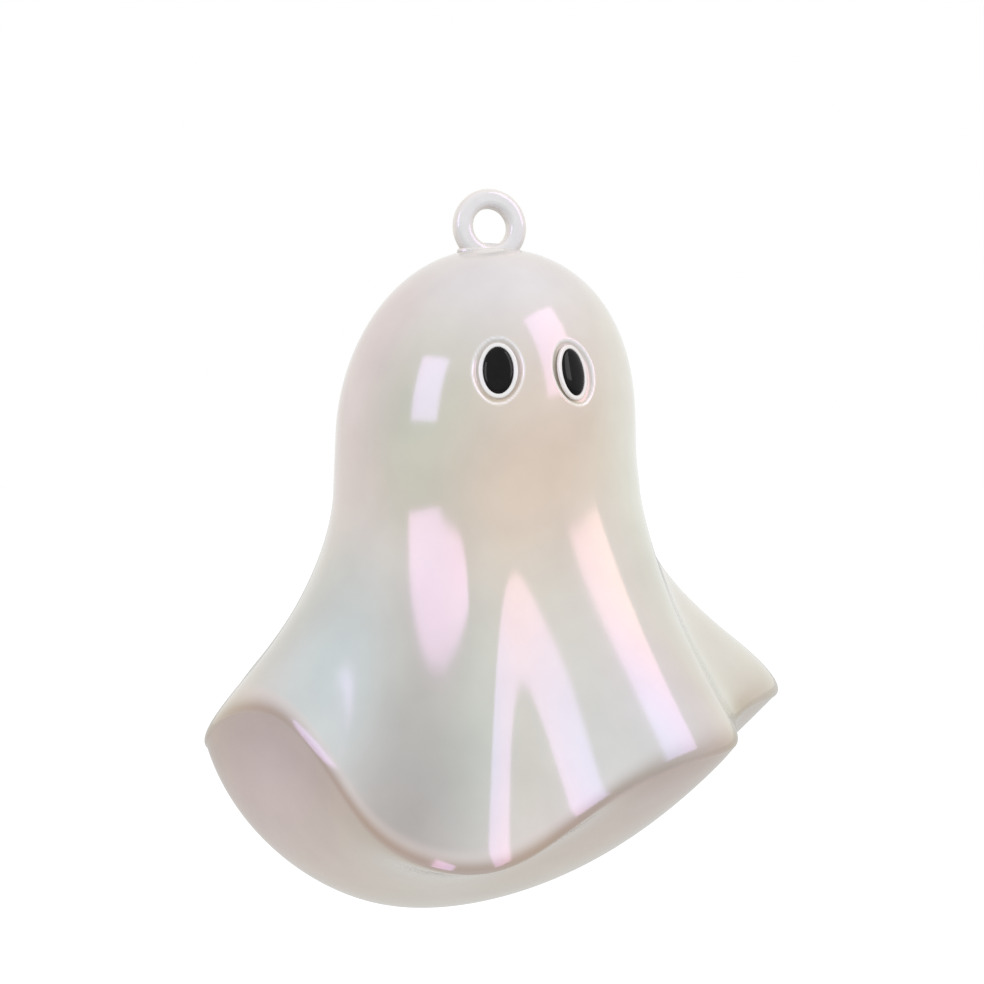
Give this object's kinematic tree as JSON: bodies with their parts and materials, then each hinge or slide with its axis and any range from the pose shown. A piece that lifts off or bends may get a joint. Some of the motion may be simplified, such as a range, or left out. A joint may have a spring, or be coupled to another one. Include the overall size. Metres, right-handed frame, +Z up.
{
  "type": "hanging ghost ornament",
  "caption": "Hollow pearl-finished ghost ornament with a draped, wavy hem, domed oval eyes and a ring on the crown to hang it by.",
  "frame": {"origin": "centre of the hole in the hanging ring", "axes": "+Z up along the hanging line, +Y along the hole towards the back, face towards -Y"},
  "size_m": [0.0854, 0.0763, 0.0986],
  "materials": {
    "pearl_shell": "iridescent pearl lacquer, high gloss",
    "eyelet": "pearl white, glossy",
    "eye_white": "white, glossy",
    "eye_black": "black, high gloss"
  },
  "bodies": {
    "root": {"front_shell": "pearl_shell", "rear_shell": "pearl_shell", "hanging_eyelet": "eyelet", "left_eye_rim": "eye_white", "right_eye_rim": "eye_white", "left_pupil": "eye_black", "right_pupil": "eye_black"}
  },
  "joints": []
}
